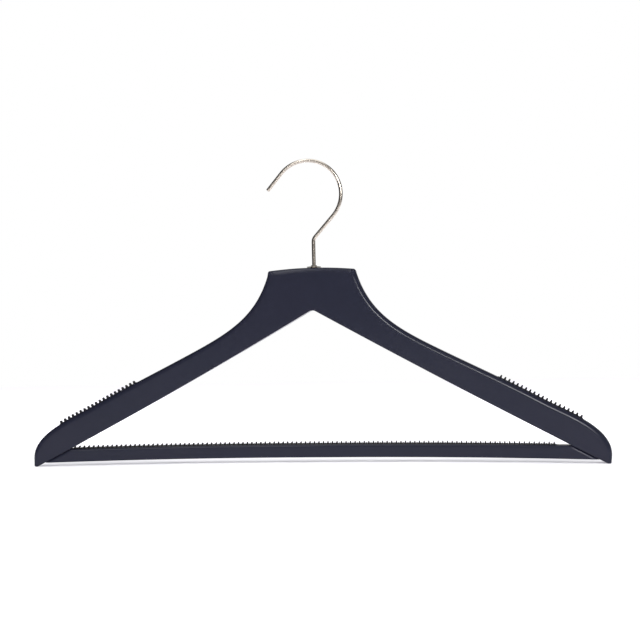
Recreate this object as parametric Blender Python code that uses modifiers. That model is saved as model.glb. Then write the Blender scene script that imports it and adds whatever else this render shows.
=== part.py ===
"""Wooden suit hanger with a swivel hook, a trouser bar and toothed rubber strips.

Metres, +Z up, +X along the span, the front towards -Y. The origin is the point of the hook that rests on
the rail. The hook and the swivel's parts are children of an empty on the swivel's axis at the top of the
neck. The wood, the strips, the dowels and the screws are children of one at the middle of the neck's top.
"""

from math import atan, cos, hypot, pi, radians, sin, sqrt, tan

import bmesh
import bpy
from mathutils import Matrix, Vector
from mathutils.geometry import interpolate_bezier

# Wooden board, seen from the front
HALF_SPAN = 0.2225
BOARD = 0.012
NECK_HEIGHT = 0.0333
NECK_HALF_WIDTH = 0.0346
NECK_ARCH = 0.0019
NECK_CORNER_RADIUS = 0.002
NECK_SIDE_ANGLE = radians(-74)
SHOULDER_X = 0.100
SHOULDER_DROP = 0.067
SHOULDER_ANGLE = radians(-27.3)
TIP_DROP = 0.1531
SLEEVE_FROM_TIP = 0.0475
SLEEVE_ABOVE_TIP = 0.0473
SLEEVE_ANGLE = radians(-29.2)
TIP_SIDE_HEIGHT = 0.0067
FOOT_INSET = 0.0008
FOOT_WIDTH = 0.002
FOOT_CORNER_RADIUS = 0.0015
UNDERSIDE_BOW = 0.0015
NOTCH_RADIUS = 0.005
NECK_SIDE_SHARES = (0.39, 0.41)
SLEEVE_SHARES = (0.33, 0.33)
TIP_SHARES = (0.31, 0.33)

# Rounding of the board's edges: the same front and back, larger above than below
UPPER_EDGE_RADIUS = 0.0034
LOWER_EDGE_RADIUS = 0.0014
NECK_ROUNDING_HEIGHT = 0.006
NECK_ROUNDING_DEPTH = 0.0022
CORNER_ROUNDING_SHARE = 0.85
EDGE_SEGMENTS = 3

# Sweep of the board towards the front, seen from above
PLAN_DEPTH = 0.021
NECK_FLAT = 0.020
BEND_STEPS = 13
CUTTER_SHIFT_SHARE = 0.5

# Comb joint between the two arms
COMB_REACH = 0.006
COMB_FINGERS = 4
GLUE_LINE = 0.0003

# Trouser bar
BAR_HEIGHT = 0.0102
BAR_DEPTH = 0.011
BAR_EDGE_RADIUS = 0.0012
BAR_EDGE_SEGMENTS = 2
BAR_ABOVE_TIPS = 0.0028

# Toothed rubber strips and their grooves
STRIP_WIDTH = 0.004
STRIP_PROUD = 0.0003
GROOVE_DEPTH = 0.0022
STRIP_BASE_STEP = 0.012
SHOULDER_STRIP_FROM_TIP = 0.0802
SHOULDER_STRIP_LENGTH = 0.0689
SHOULDER_TOOTH_PITCH = 0.00341
SHOULDER_END_MARGIN = 0.0012
SHOULDER_TOOTH_HEIGHT = 0.0023
SHOULDER_TOOTH_ROOT = 0.0017
SHOULDER_TOOTH_TIP = 0.0011
BAR_STRIP_LEFT_INSET = 0.0051
BAR_STRIP_RIGHT_INSET = 0.0111
BAR_TOOTH_PITCH = 0.0036
BAR_END_MARGIN = 0.0009
BAR_TOOTH_HEIGHT = 0.0016
BAR_TOOTH_ROOT = 0.0013
BAR_TOOTH_TIP = 0.0008
TOOTH_SHOULDER_SHARE = 0.8

# Hook
WIRE = 0.003
HOOK_RADIUS = 0.027
HOOK_THROAT = 0.0089
HOOK_LEAN = 0.0042
HOOK_TIP_ANGLE = radians(140)
HOOK_TIP_LENGTH = 0.0175
STEM_BEND_HEIGHT = 0.0231
STEM_BEND_RADIUS = 0.006
ARC_STEP = radians(7.5)
HEAD_OVERHANG = 0.0012
HEAD_HEIGHT = 0.002

# Swivel in the neck, its axis a little to the right of the neck's middle
SWIVEL_ASIDE = 0.0016
CLEARANCE = 0.0003
WASHER_RIM = 0.003
WASHER_THICKNESS = 0.0006
COLLAR_WALL = 0.0005
COLLAR_HEIGHT = 0.0011
SLEEVE_WALL = 0.0014
SLEEVE_LENGTH = 0.0185
SLEEVE_RIB_DEPTH = 0.0004
SLEEVE_RIBS = 4
RUNNING_GAP = 0.0004
THRUST_THICKNESS = 0.0006
BORE_SPARE = 0.002

# Dowels and screws at the bar's ends
DOWEL_FROM_TIP = 0.0237
DOWEL_RADIUS = 0.002
DOWEL_LENGTH = 0.014
DOWEL_FLOOR = 0.0024
DOWEL_CHAMFER = 0.0005
SCREW_FROM_TIP = 0.0162
SCREW_HEAD_RADIUS = 0.003
SCREW_HEAD_HEIGHT = 0.0022
SCREW_RADIUS = 0.0015
SCREW_LENGTH = 0.016
SCREW_TIP = 0.003
SCREW_THREAD_DEPTH = 0.0003
SCREW_THREADS = 4
SCREW_RECESS = 0.0002
DRIVE_WIDTH = 0.0007
DRIVE_LENGTH = 0.0032
DRIVE_DEPTH = 0.0011

# Shared by the cuts and the meshes
OVERRUN = 0.002
WELD = 0.000001
ROUND_STEPS = 24
SMALL_STEPS = 16
SMOOTH_ANGLE = radians(35)
FLAT_ANGLE = radians(0.1)

# Worked out from the sizes above
SLEEVE_X = HALF_SPAN - SLEEVE_FROM_TIP
FOOT_X = HALF_SPAN - FOOT_INSET
HEEL_X = FOOT_X - FOOT_WIDTH
HEEL_DROP = TIP_DROP - NECK_HEIGHT
TIP_SIDE_DROP = TIP_DROP - TIP_SIDE_HEIGHT
UNDERSIDE_SLOPE = (HEEL_DROP + 4 * UNDERSIDE_BOW) / HEEL_X
BAR_BOTTOM = BAR_ABOVE_TIPS - TIP_DROP
BAR_TOP = BAR_BOTTOM + BAR_HEIGHT
HOOK_CENTRE_HEIGHT = STEM_BEND_HEIGHT + HOOK_THROAT + HOOK_RADIUS
RAIL_HEIGHT = HOOK_CENTRE_HEIGHT + HOOK_RADIUS - WIRE / 2
HEAD_RADIUS = WIRE / 2 + HEAD_OVERHANG
STEM_HOLE = WIRE / 2 + RUNNING_GAP
COLLAR_RADIUS = STEM_HOLE + COLLAR_WALL
SLEEVE_RADIUS = STEM_HOLE + SLEEVE_WALL
BORE_RADIUS = max(SLEEVE_RADIUS, HEAD_RADIUS) + CLEARANCE
SLEEVE_BOTTOM = -CLEARANCE - SLEEVE_LENGTH
THRUST_BOTTOM = SLEEVE_BOTTOM - CLEARANCE - THRUST_THICKNESS
HEAD_TOP = THRUST_BOTTOM - CLEARANCE
HEAD_BOTTOM = HEAD_TOP - HEAD_HEIGHT
BORE_DEPTH = BORE_SPARE - HEAD_BOTTOM


def clear_scene():
    for thing in list(bpy.data.objects):
        bpy.data.objects.remove(thing, do_unlink=True)


def make_collection(name):
    collection = bpy.data.collections.new(name)
    bpy.context.scene.collection.children.link(collection)
    return collection


def make_material(name, color, roughness, metallic=0.0):
    material = bpy.data.materials.new(name)
    material.use_nodes = True
    shader = material.node_tree.nodes["Principled BSDF"]
    shader.inputs["Base Color"].default_value = (*color, 1.0)
    shader.inputs["Roughness"].default_value = roughness
    shader.inputs["Metallic"].default_value = metallic
    return material


def painted_wood(name):
    return make_material(name, (0.036, 0.037, 0.056), 0.55)


def bare_wood(name):
    return make_material(name, (0.58, 0.41, 0.24), 0.7)


def black_rubber(name):
    return make_material(name, (0.012, 0.012, 0.014), 0.8)


def nickel(name):
    return make_material(name, (0.62, 0.58, 0.52), 0.28, 1.0)


def steel(name):
    return make_material(name, (0.5, 0.5, 0.52), 0.35, 1.0)


def brass(name):
    return make_material(name, (0.72, 0.55, 0.25), 0.35, 1.0)


# Outlines in the front view, as points (x, z)

def heading(angle):
    return Vector((cos(angle), sin(angle)))


def curve_points(start, start_angle, end, end_angle, shares, count):
    """Points after start on a Bezier whose handles are shares of the distance between its ends."""
    start, end = Vector(start), Vector(end)
    span = (end - start).length
    start_handle = start + heading(start_angle) * span * shares[0]
    end_handle = end - heading(end_angle) * span * shares[1]
    return [tuple(p) for p in interpolate_bezier(start, start_handle, end_handle, end, count + 1)][1:]


def rounded_corner(corner, angle_in, angle_out, radius, steps):
    """Arc in place of a corner that turns to the right, from one tangent point to the other."""
    turn = angle_out - angle_in
    start = Vector(corner) - heading(angle_in) * radius * tan(abs(turn) / 2)
    centre = start + heading(angle_in - pi / 2) * radius
    angles = [angle_in + turn * i / steps for i in range(steps + 1)]
    return [tuple(centre - heading(a - pi / 2) * radius) for a in angles]


def neck_top(x):
    return -NECK_ARCH * (x / NECK_HALF_WIDTH) ** 2


def underside(x):
    """Height of the arms' underside, a line from the notch to the foot that bows down a little."""
    share = abs(x) / HEEL_X
    return -NECK_HEIGHT - HEEL_DROP * share - 4 * UNDERSIDE_BOW * share * (1 - share)


def underside_reach(z):
    """Distance from the middle at which the underside has come down to z."""
    fall = -NECK_HEIGHT - z
    half = (HEEL_DROP + 4 * UNDERSIDE_BOW) / 2
    return HEEL_X * fall / (half + sqrt(half ** 2 - 4 * UNDERSIDE_BOW * fall))


def shoulder_line(sleeve_steps, tip_steps):
    """Top edge of the right arm from the shoulder to the side of the tip."""
    shoulder = (SHOULDER_X, -SHOULDER_DROP)
    sleeve = (SLEEVE_X, SLEEVE_ABOVE_TIP - TIP_DROP)
    tip_side = (HALF_SPAN, -TIP_SIDE_DROP)
    line = [shoulder]
    line += curve_points(shoulder, SHOULDER_ANGLE, sleeve, SLEEVE_ANGLE, SLEEVE_SHARES, sleeve_steps)
    line += curve_points(sleeve, SLEEVE_ANGLE, tip_side, -pi / 2, TIP_SHARES, tip_steps)
    return line


def neck_outline():
    """Top of the neck from its middle, its right corner, and the neck's side down to the shoulder."""
    arch_angle = -atan(2 * NECK_ARCH / NECK_HALF_WIDTH)
    corner = rounded_corner((NECK_HALF_WIDTH, -NECK_ARCH), arch_angle, NECK_SIDE_ANGLE,
                            NECK_CORNER_RADIUS, 3)
    arch_steps = 5
    arch_end = corner[0][0]
    arch = [(arch_end * i / arch_steps, neck_top(arch_end * i / arch_steps)) for i in range(arch_steps)]
    side = curve_points(corner[-1], NECK_SIDE_ANGLE, (SHOULDER_X, -SHOULDER_DROP), SHOULDER_ANGLE,
                        NECK_SIDE_SHARES, 10)
    return arch, corner, side[:-1]


def foot_outline():
    """Blunt foot of the right tip, from its outer side to the end of the underside."""
    side_angle = -pi / 2 - atan((HALF_SPAN - FOOT_X) / (TIP_DROP - TIP_SIDE_DROP))
    corner = rounded_corner((FOOT_X, -TIP_DROP), side_angle, -pi, FOOT_CORNER_RADIUS, 3)
    return corner + [(HEEL_X, -TIP_DROP)]


def underside_outline():
    """Right underside from near the foot to the middle of the rounded notch."""
    slope_angle = atan(UNDERSIDE_SLOPE)
    fillet_x = NOTCH_RADIUS * sin(slope_angle)
    fillet_centre = -NECK_HEIGHT - NOTCH_RADIUS / cos(slope_angle)
    steps = 5
    xs = [HEEL_X + (fillet_x - HEEL_X) * i / steps for i in range(1, steps)]
    fillet_steps = 3
    angles = [slope_angle * (1 - i / fillet_steps) for i in range(fillet_steps + 1)]
    fillet = [(NOTCH_RADIUS * sin(a), fillet_centre + NOTCH_RADIUS * cos(a)) for a in angles]
    return [(x, underside(x)) for x in xs] + fillet


def board_outline():
    """Outline of the two arms, clockwise from the top of the neck, each point with its edge's rounding.

    A rounding is how far it reaches in from the outline, and how deep from the face.
    """
    top, corner, side = neck_outline()
    neck_rounding = (NECK_ROUNDING_HEIGHT, NECK_ROUNDING_DEPTH)
    corner_rounding = [NECK_CORNER_RADIUS * CORNER_ROUNDING_SHARE] * 2
    foot_rounding = [FOOT_CORNER_RADIUS * CORNER_ROUNDING_SHARE] * 2
    upper_rounding = [UPPER_EDGE_RADIUS] * 2
    lower_rounding = [LOWER_EDGE_RADIUS] * 2
    right = [(point, neck_rounding) for point in top]
    right += [(point, corner_rounding) for point in corner]
    right += [(point, upper_rounding) for point in side + shoulder_line(4, 10)]
    right += [(point, foot_rounding) for point in foot_outline()]
    right += [(point, lower_rounding) for point in underside_outline()]
    left = [((-x, z), rounding) for (x, z), rounding in reversed(right[1:-1])]
    return right + left


def inward_normals(outline):
    """Normal to the inside at each point of a clockwise outline, long enough to shift both its edges by 1."""
    normals = []
    for i, point in enumerate(outline):
        before = (Vector(point) - Vector(outline[i - 1])).normalized()
        after = (Vector(outline[(i + 1) % len(outline)]) - Vector(point)).normalized()
        first, second = Vector((before.y, -before.x)), Vector((after.y, -after.x))
        normals.append((first + second) / (1 + first.dot(second)))
    return normals


def bar_outline():
    """Bar with its ends mitred along the arms' undersides, a glue line below them."""
    lift = GLUE_LINE / cos(atan(UNDERSIDE_SLOPE))
    top_x = underside_reach(BAR_TOP + lift)
    bottom_x = underside_reach(BAR_BOTTOM + lift)
    return [(-top_x, BAR_TOP), (top_x, BAR_TOP), (bottom_x, BAR_BOTTOM), (-bottom_x, BAR_BOTTOM)]


# Sweep of the board

def sweep(x):
    """How far the front face has come forward at x, and its slope there."""
    run = HALF_SPAN - NECK_FLAT
    reach = max(abs(x) - NECK_FLAT, 0) / run
    slope = 2 * PLAN_DEPTH * reach / run
    return -PLAN_DEPTH * reach ** 2, -slope if x > 0 else slope


def swept(x, y):
    """Place of a point of the straight board, with the depth kept square to the swept front face."""
    forward, slope = sweep(x)
    depth = y + BOARD / 2
    length = hypot(1, slope)
    return x - depth * slope / length, forward + depth / length - BOARD / 2


def bend_stations(shift_share):
    """Places of the cuts that let a slab bend. A cutter is shifted off the cuts of the wood it meets."""
    step = (HALF_SPAN - NECK_FLAT) / BEND_STEPS
    right = [NECK_FLAT + step * (i + shift_share) for i in range(BEND_STEPS)]
    return [-x for x in reversed(right)] + right


# Meshes

def link(name, data, collection, parent, material=None):
    thing = bpy.data.objects.new(name, data)
    collection.objects.link(thing)
    thing.parent = parent
    if material:
        data.materials.append(material)
    return thing


def make_empty(name, place, collection):
    empty = link(name, None, collection, None)
    empty.location = place
    return empty


def curve_to_bmesh(curve):
    """Evaluated curve as a welded bmesh with whole flat faces, and the curve removed."""
    carrier = bpy.data.objects.new(curve.name, curve)
    bpy.context.scene.collection.objects.link(carrier)
    depsgraph = bpy.context.evaluated_depsgraph_get()
    mesh = bpy.data.meshes.new_from_object(carrier.evaluated_get(depsgraph))
    shape = bmesh.new()
    shape.from_mesh(mesh)
    bmesh.ops.remove_doubles(shape, verts=shape.verts, dist=WELD)
    bmesh.ops.dissolve_limit(shape, angle_limit=FLAT_ANGLE, verts=shape.verts, edges=shape.edges)
    bpy.data.meshes.remove(mesh)
    bpy.data.objects.remove(carrier)
    bpy.data.curves.remove(curve)
    return shape


def prism(name, outline, thickness):
    """Outline in X and Y, extruded half the thickness to each side along Z."""
    curve = bpy.data.curves.new(name, "CURVE")
    curve.dimensions = "2D"
    curve.fill_mode = "BOTH"
    curve.extrude = thickness / 2
    spline = curve.splines.new("POLY")
    spline.points.add(len(outline) - 1)
    for point, (x, y) in zip(spline.points, outline):
        point.co = (x, y, 0, 1)
    spline.use_cyclic_u = True
    return curve_to_bmesh(curve)


def slab(name, outline, thickness):
    """Front-view outline, extruded half the thickness to each side along Y."""
    shape = prism(name, outline, thickness)
    bmesh.ops.transform(shape, matrix=Matrix.Rotation(pi / 2, 4, "X"), verts=shape.verts)
    return shape


def rounded_slab(outline, thickness):
    """Slab of a front-view outline whose points carry the rounding of their edges, front and back."""
    shape = bmesh.new()
    normals = inward_normals([point for point, rounding in outline])
    turns = [pi / 2 * i / EDGE_SEGMENTS for i in range(EDGE_SEGMENTS + 1)]
    rings = []
    for side, side_turns in ((-1, turns[::-1]), (1, turns)):
        for turn in side_turns:
            ring = []
            for ((x, z), (reach, depth)), normal in zip(outline, normals):
                shift = normal * reach * (1 - cos(turn))
                y = side * (thickness / 2 - depth * (1 - sin(turn)))
                ring.append(shape.verts.new((x + shift.x, y, z + shift.y)))
            rings.append(ring)
    for front, back in zip(rings, rings[1:]):
        for i in range(len(outline)):
            shape.faces.new((front[i - 1], front[i], back[i], back[i - 1]))
    shape.faces.new(rings[0])
    shape.faces.new(rings[-1])
    return shape


def round_edges(shape, radius, least_angle):
    """Round the edges whose faces turn by more than the angle."""
    shape.normal_update()
    edges = [e for e in shape.edges if len(e.link_faces) == 2 and e.calc_face_angle() > least_angle]
    bmesh.ops.bevel(shape, geom=edges, offset=radius, segments=BAR_EDGE_SEGMENTS, profile=0.5,
                    affect="EDGES", clamp_overlap=False)


def bend(shape, shift_share=0.0):
    """Cut a straight slab at the stations and lay it along the sweep of the board."""
    for x in bend_stations(shift_share):
        parts = shape.verts[:] + shape.edges[:] + shape.faces[:]
        bmesh.ops.bisect_plane(shape, geom=parts, dist=WELD, plane_co=(x, 0, 0), plane_no=(1, 0, 0))
    for vert in shape.verts:
        vert.co.x, vert.co.y = swept(vert.co.x, vert.co.y)


def finish_mesh(name, shape):
    bmesh.ops.recalc_face_normals(shape, faces=shape.faces)
    mesh = bpy.data.meshes.new(name)
    shape.to_mesh(mesh)
    shape.free()
    mesh.shade_smooth()
    mesh.set_sharp_from_angle(angle=SMOOTH_ANGLE)
    return mesh


def turned(name, profile, steps, collection, parent, material=None):
    """Turned piece about Z. The profile's points (radius, z) run down its outer side."""
    mesh = bpy.data.meshes.new(name)
    closed = profile[0][0] > 0
    count = len(profile)
    edges = [(i, (i + 1) % count) for i in range(count if closed else count - 1)]
    mesh.from_pydata([(r, 0, z) for r, z in profile], edges, [])
    thing = link(name, mesh, collection, parent, material)
    screw = thing.modifiers.new("Turn", "SCREW")
    screw.steps = steps
    screw.render_steps = steps
    screw.use_merge_vertices = True
    screw.merge_threshold = WELD
    return thing


def cut(target, cutter):
    boolean = target.modifiers.new(cutter.name, "BOOLEAN")
    boolean.operation = "DIFFERENCE"
    boolean.solver = "EXACT"
    boolean.object = cutter


def hide_cutter(thing):
    thing.hide_render = True
    thing.display_type = "WIRE"
    return thing


# Wooden pieces

def comb_outline(side, growth):
    """Everything beyond the comb joint on one side (1 right, -1 left), grown by the glue line."""
    pitch = BOARD / COMB_FINGERS
    front = -BOARD / 2
    ahead = front - PLAN_DEPTH - OVERRUN
    behind = front + BOARD + OVERRUN
    far = side * (HALF_SPAN + COMB_REACH)
    outer = -side * (COMB_REACH + growth)
    inner = side * (COMB_REACH - growth)
    # The front finger belongs to the left arm, the next to the right arm, and so on
    first_is_ours = side < 0
    points = [(far, ahead)]
    for i in range(COMB_FINGERS):
        ours = (i % 2 == 0) == first_is_ours
        x = outer if ours else inner
        near_growth = growth if ours else -growth
        start = ahead if i == 0 else front + pitch * i - near_growth
        end = behind if i == COMB_FINGERS - 1 else front + pitch * (i + 1) + near_growth
        points += [(x, start), (x, end)]
    return points + [(far, behind)]


def make_comb_cutter(name, side, growth, collection, parent):
    height = 2 * (TIP_DROP + OVERRUN)
    shape = prism(name, comb_outline(side, growth), height)
    return hide_cutter(link(name, finish_mesh(name, shape), collection, parent))


def make_groove_cutter(name, outline, collection, parent):
    shape = slab(name, outline, STRIP_WIDTH + 2 * CLEARANCE)
    bend(shape, CUTTER_SHIFT_SHARE)
    return hide_cutter(link(name, finish_mesh(name, shape), collection, parent))


def make_arm(name, cutters, collection, parent):
    shape = rounded_slab(board_outline(), BOARD)
    bend(shape)
    arm = link(name, finish_mesh(name, shape), collection, parent, painted_wood(name))
    for cutter in cutters:
        cut(arm, cutter)
    return arm


def make_bar(cutters, collection, parent):
    shape = slab("trouser_bar", bar_outline(), BAR_DEPTH)
    round_edges(shape, BAR_EDGE_RADIUS, radians(40))
    bend(shape)
    bar = link("trouser_bar", finish_mesh("trouser_bar", shape), collection, parent,
               painted_wood("trouser_bar"))
    for cutter in cutters:
        cut(bar, cutter)
    return bar


# Toothed strips

class Edge:
    """Line in the front view that a strip follows, read by the distance along it."""

    def __init__(self, points):
        self.points = [Vector(p) for p in points]
        self.distances = [0.0]
        for a, b in zip(self.points, self.points[1:]):
            self.distances.append(self.distances[-1] + (b - a).length)

    def at(self, distance, lift):
        """Point at a distance along the line, lifted square to it."""
        last = len(self.points) - 2
        i = 0
        while i < last and self.distances[i + 1] < distance:
            i += 1
        a, b = self.points[i], self.points[i + 1]
        along = (b - a).normalized()
        return tuple(a + along * (distance - self.distances[i]) + Vector((-along.y, along.x)) * lift)

    def distance_at_x(self, x):
        for a, b, start in zip(self.points, self.points[1:], self.distances):
            if a.x <= x <= b.x:
                return start + (b - a).length * (x - a.x) / (b.x - a.x)
        return self.distances[-1]


def even_distances(start, length, step):
    count = max(1, round(length / step))
    return [start + length * i / count for i in range(count + 1)]


def tooth_points(edge, centre, root, tip, height):
    base = STRIP_PROUD
    shoulder = base + (height - base) * TOOTH_SHOULDER_SHARE
    profile = [(-root / 2, base), (-tip / 2, shoulder), (0, height), (tip / 2, shoulder), (root / 2, base)]
    return [edge.at(centre + offset, lift) for offset, lift in profile]


def strip_outline(edge, start, length, pitch, margin, tooth):
    """Strip with an even row of teeth near the pitch, each of them (root, tip, height)."""
    root = tooth[0]
    first = start + margin + root / 2
    row = length - 2 * margin - root
    gaps = round(row / pitch)
    top = [edge.at(start, STRIP_PROUD)]
    for i in range(gaps + 1):
        top += tooth_points(edge, first + row * i / gaps, *tooth)
    top.append(edge.at(start + length, STRIP_PROUD))
    bottom = [edge.at(d, CLEARANCE - GROOVE_DEPTH) for d in even_distances(start, length, STRIP_BASE_STEP)]
    return top + bottom[::-1]


def groove_outline(edge, start, length):
    distances = even_distances(start - CLEARANCE, length + 2 * CLEARANCE, STRIP_BASE_STEP)
    top = [edge.at(d, OVERRUN) for d in distances]
    bottom = [edge.at(d, -GROOVE_DEPTH) for d in distances]
    return top + bottom[::-1]


def mirrored(outline):
    return [(-x, z) for x, z in reversed(outline)]


def make_strip(name, outline, collection, parent):
    shape = slab(name, outline, STRIP_WIDTH)
    bend(shape)
    return link(name, finish_mesh(name, shape), collection, parent, black_rubber(name))


def shoulder_strip_shapes():
    """Outlines of the right shoulder's strip and of its groove."""
    edge = Edge(shoulder_line(24, 40))
    start = edge.distance_at_x(HALF_SPAN - SHOULDER_STRIP_FROM_TIP)
    tooth = (SHOULDER_TOOTH_ROOT, SHOULDER_TOOTH_TIP, SHOULDER_TOOTH_HEIGHT)
    strip = strip_outline(edge, start, SHOULDER_STRIP_LENGTH, SHOULDER_TOOTH_PITCH, SHOULDER_END_MARGIN,
                          tooth)
    return strip, groove_outline(edge, start, SHOULDER_STRIP_LENGTH)


def bar_strip_shapes():
    """Outlines of the bar's strip and of its groove."""
    reach = underside_reach(BAR_TOP)
    edge = Edge([(-reach, BAR_TOP), (reach, BAR_TOP)])
    start = BAR_STRIP_LEFT_INSET
    length = 2 * reach - BAR_STRIP_LEFT_INSET - BAR_STRIP_RIGHT_INSET
    tooth = (BAR_TOOTH_ROOT, BAR_TOOTH_TIP, BAR_TOOTH_HEIGHT)
    strip = strip_outline(edge, start, length, BAR_TOOTH_PITCH, BAR_END_MARGIN, tooth)
    return strip, groove_outline(edge, start, length)


# Hook and swivel

def hook_path():
    """Centre line of the wire as (x, z), from the head in the neck to the bare tip."""
    centre = Vector((-HOOK_LEAN, HOOK_CENTRE_HEIGHT))
    corner = Vector((0, STEM_BEND_HEIGHT))
    away = centre - corner
    tangent_length = sqrt(away.length_squared - HOOK_RADIUS ** 2)
    rise = away.angle_signed(Vector((1, 0))) - atan(HOOK_RADIUS / tangent_length)
    touch = corner + heading(rise) * tangent_length
    # The stem's small bend, from upright to the slant that meets the big arc
    points = [Vector((0, HEAD_BOTTOM + HEAD_HEIGHT / 2))]
    turn = pi / 2 - rise
    setback = STEM_BEND_RADIUS * tan(turn / 2)
    bend_centre = Vector((STEM_BEND_RADIUS, STEM_BEND_HEIGHT - setback))
    steps = 5
    points += [bend_centre + heading(pi - turn * i / steps) * STEM_BEND_RADIUS for i in range(steps + 1)]
    # The big arc runs over the top to the start of the straight tip
    start = -Vector((1, 0)).angle_signed(touch - centre)
    steps = round((HOOK_TIP_ANGLE - start) / ARC_STEP)
    angles = [start + (HOOK_TIP_ANGLE - start) * i / steps for i in range(steps + 1)]
    points += [centre + heading(a) * HOOK_RADIUS for a in angles]
    points.append(points[-1] + heading(HOOK_TIP_ANGLE + pi / 2) * HOOK_TIP_LENGTH)
    return points


def make_hook(collection, cutters, parent):
    """Wire on its path, joined to the upset head that holds it in the bushing."""
    curve = bpy.data.curves.new("hook", "CURVE")
    curve.dimensions = "3D"
    curve.bevel_depth = WIRE / 2
    curve.bevel_resolution = 4
    curve.use_fill_caps = True
    path = hook_path()
    spline = curve.splines.new("POLY")
    spline.points.add(len(path) - 1)
    for point, place in zip(spline.points, path):
        point.co = (place.x, 0, place.y, 1)
    hook = link("hook", finish_mesh("hook", curve_to_bmesh(curve)), collection, parent, nickel("hook"))
    head_profile = [(0, HEAD_TOP), (HEAD_RADIUS, HEAD_TOP), (HEAD_RADIUS, HEAD_BOTTOM), (0, HEAD_BOTTOM)]
    head = hide_cutter(turned("hook_head", head_profile, SMALL_STEPS, cutters, parent))
    union = hook.modifiers.new("Head", "BOOLEAN")
    union.operation = "UNION"
    union.solver = "EXACT"
    union.object = head
    return hook


def ring_profile(inner, outer, bottom, top):
    return [(outer, top), (outer, bottom), (inner, bottom), (inner, top)]


def make_washers(collection, parent):
    neck_hole = COLLAR_RADIUS + CLEARANCE
    washer_bottom = CLEARANCE
    washer = ring_profile(neck_hole, neck_hole + WASHER_RIM, washer_bottom, washer_bottom + WASHER_THICKNESS)
    turned("neck_washer", washer, ROUND_STEPS, collection, parent, nickel("neck_washer"))
    thrust = ring_profile(STEM_HOLE, SLEEVE_RADIUS, THRUST_BOTTOM, THRUST_BOTTOM + THRUST_THICKNESS)
    turned("hook_thrust_washer", thrust, ROUND_STEPS, collection, parent, steel("hook_thrust_washer"))


def make_bushing(collection, parent):
    """Ribbed sleeve in the neck, with a collar that stands through the neck washer."""
    collar_top = CLEARANCE + WASHER_THICKNESS + COLLAR_HEIGHT
    sleeve_top = -CLEARANCE
    profile = [(COLLAR_RADIUS, collar_top), (COLLAR_RADIUS, sleeve_top), (SLEEVE_RADIUS, sleeve_top)]
    rib = SLEEVE_LENGTH / (SLEEVE_RIBS + 1)
    for i in range(1, SLEEVE_RIBS + 1):
        middle = sleeve_top - rib * i
        profile += [(SLEEVE_RADIUS, middle + SLEEVE_RIB_DEPTH), (SLEEVE_RADIUS - SLEEVE_RIB_DEPTH, middle),
                    (SLEEVE_RADIUS, middle - SLEEVE_RIB_DEPTH)]
    profile += [(SLEEVE_RADIUS, SLEEVE_BOTTOM), (STEM_HOLE, SLEEVE_BOTTOM), (STEM_HOLE, collar_top)]
    turned("hook_bushing", profile, ROUND_STEPS, collection, parent, brass("hook_bushing"))


def make_bore_cutter(collection, parent):
    profile = [(0, OVERRUN), (BORE_RADIUS, OVERRUN), (BORE_RADIUS, -BORE_DEPTH), (0, -BORE_DEPTH)]
    return hide_cutter(turned("neck_bore", profile, ROUND_STEPS, collection, parent))


# Dowels and screws

def dowel_profile(growth):
    bottom = BAR_BOTTOM + DOWEL_FLOOR - growth
    top = BAR_BOTTOM + DOWEL_FLOOR + DOWEL_LENGTH + growth
    radius = DOWEL_RADIUS + growth
    return [(0, top), (radius - DOWEL_CHAMFER, top), (radius, top - DOWEL_CHAMFER),
            (radius, bottom + DOWEL_CHAMFER), (radius - DOWEL_CHAMFER, bottom), (0, bottom)]


def screw_profile():
    """Countersunk screw, point up, with ridges for its thread."""
    bottom = BAR_BOTTOM + SCREW_RECESS
    neck = bottom + SCREW_HEAD_HEIGHT
    thread_top = bottom + SCREW_LENGTH - SCREW_TIP
    core = SCREW_RADIUS - SCREW_THREAD_DEPTH
    points = [(0, bottom + SCREW_LENGTH), (core, thread_top)]
    ridge = (thread_top - neck) / (SCREW_THREADS + 1)
    for i in range(1, SCREW_THREADS + 1):
        middle = thread_top - ridge * i
        points += [(core, middle + SCREW_THREAD_DEPTH), (SCREW_RADIUS, middle),
                   (core, middle - SCREW_THREAD_DEPTH)]
    return points + [(core, neck), (SCREW_HEAD_RADIUS, bottom), (0, bottom)]


def screw_hole_profile():
    bottom = BAR_BOTTOM + SCREW_RECESS
    top = bottom + SCREW_LENGTH + CLEARANCE
    neck = bottom + SCREW_HEAD_HEIGHT + CLEARANCE
    head = SCREW_HEAD_RADIUS + CLEARANCE
    shank = SCREW_RADIUS + CLEARANCE
    below = BAR_BOTTOM - OVERRUN
    return [(0, top), (shank, top), (shank, neck), (head, bottom + CLEARANCE), (head, below), (0, below)]


def make_drive_cutter(name, place, collection, parent):
    """Cross recess in a screw's head: two crossed slots from below, as one closed outline."""
    arm, half = DRIVE_LENGTH / 2, DRIVE_WIDTH / 2
    quarter = [(arm, half), (half, half), (half, arm)]
    outline = []
    for i in range(4):
        turn = Matrix.Rotation(i * pi / 2, 2)
        outline += [tuple(turn @ Vector(p)) for p in quarter]
    height = 2 * DRIVE_DEPTH
    shape = prism(name, outline, height)
    thing = hide_cutter(link(name, finish_mesh(name, shape), collection, parent))
    thing.location = (*place, BAR_BOTTOM + SCREW_RECESS)
    return thing


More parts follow.
